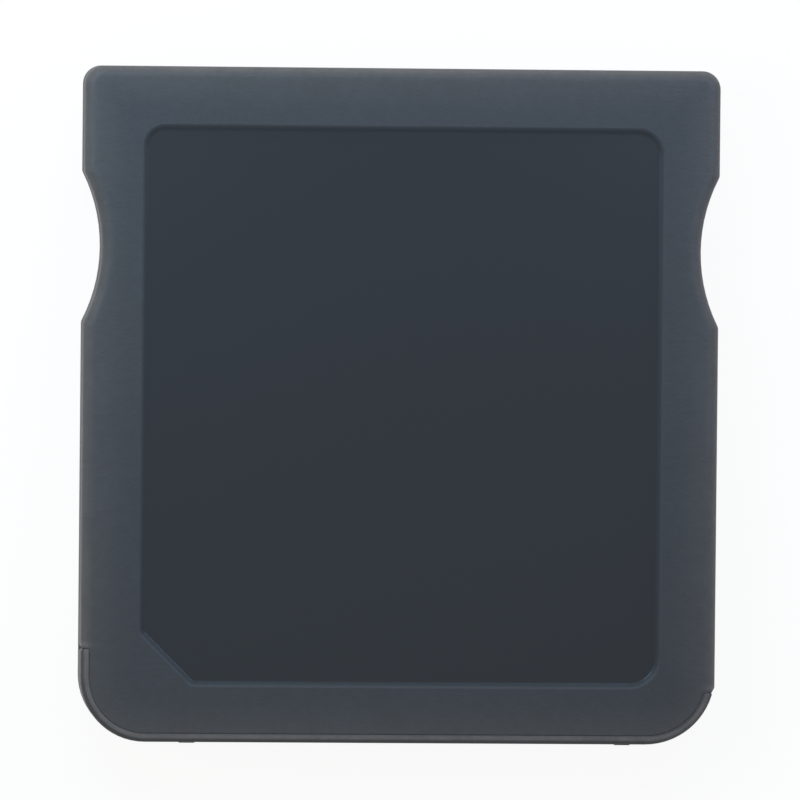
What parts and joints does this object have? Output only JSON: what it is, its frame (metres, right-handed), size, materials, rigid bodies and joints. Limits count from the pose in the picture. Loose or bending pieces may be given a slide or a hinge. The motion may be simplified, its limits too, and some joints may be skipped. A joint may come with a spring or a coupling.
{
  "type": "flash cartridge",
  "caption": "Thin game card with a bare label recess, grip scoops on both sides, a contact comb under the nose and a memory card slot in the grip end.",
  "frame": {"origin": "centre of the back face, on the surface that the card lies on", "axes": "+Z from the back face to the label side, +Y from the nose that enters the console to the grip end, +X to the right seen from the label side"},
  "size_m": [0.033, 0.0351, 0.0038],
  "materials": {
    "shell_plastic": "fine spark-eroded moulding texture, charcoal with a blue tint",
    "board_laminate": "green solder mask on glass laminate",
    "gold_plating": "gold-plated copper",
    "socket_plastic": "black moulded",
    "socket_steel": "rolled stainless sheet",
    "spring_bronze": "phosphor bronze, plated",
    "chip_resin": "black moulding resin",
    "lead_tin": "tin-plated copper alloy",
    "crystal_metal": "nickel-plated lid on a ceramic package",
    "capacitor_ceramic": "fired ceramic with tinned ends",
    "resistor_ceramic": "glazed ceramic with tinned ends"
  },
  "bodies": {
    "root": {"back_shell": "shell_plastic", "boot_memory_chip": "chip_resin", "boot_memory_leads": "lead_tin", "bulk_capacitor_1": "capacitor_ceramic", "bulk_capacitor_2": "capacitor_ceramic", "bulk_capacitor_3": "capacitor_ceramic", "bulk_capacitor_4": "capacitor_ceramic", "card_socket_base": "socket_plastic", "card_socket_cover": "socket_steel", "card_spring_1": "spring_bronze", "card_spring_2": "spring_bronze", "card_spring_3": "spring_bronze", "card_spring_4": "spring_bronze", "card_spring_5": "spring_bronze", "card_spring_6": "spring_bronze", "card_spring_7": "spring_bronze", "card_spring_8": "spring_bronze", "circuit_board": "board_laminate", "contact_pads": "gold_plating", "controller_chip": "chip_resin", "controller_leads": "lead_tin", "crystal": "crystal_metal", "front_shell": "shell_plastic", "resistor_1": "resistor_ceramic", "resistor_2": "resistor_ceramic", "resistor_3": "resistor_ceramic", "resistor_4": "resistor_ceramic", "resistor_5": "resistor_ceramic", "resistor_6": "resistor_ceramic", "resistor_array_1": "resistor_ceramic", "resistor_array_2": "resistor_ceramic", "small_capacitor_1": "capacitor_ceramic", "small_capacitor_2": "capacitor_ceramic", "small_capacitor_3": "capacitor_ceramic", "small_capacitor_4": "capacitor_ceramic", "small_capacitor_5": "capacitor_ceramic", "small_capacitor_6": "capacitor_ceramic", "voltage_regulator": "chip_resin", "voltage_regulator_leads": "lead_tin"}
  },
  "joints": []
}
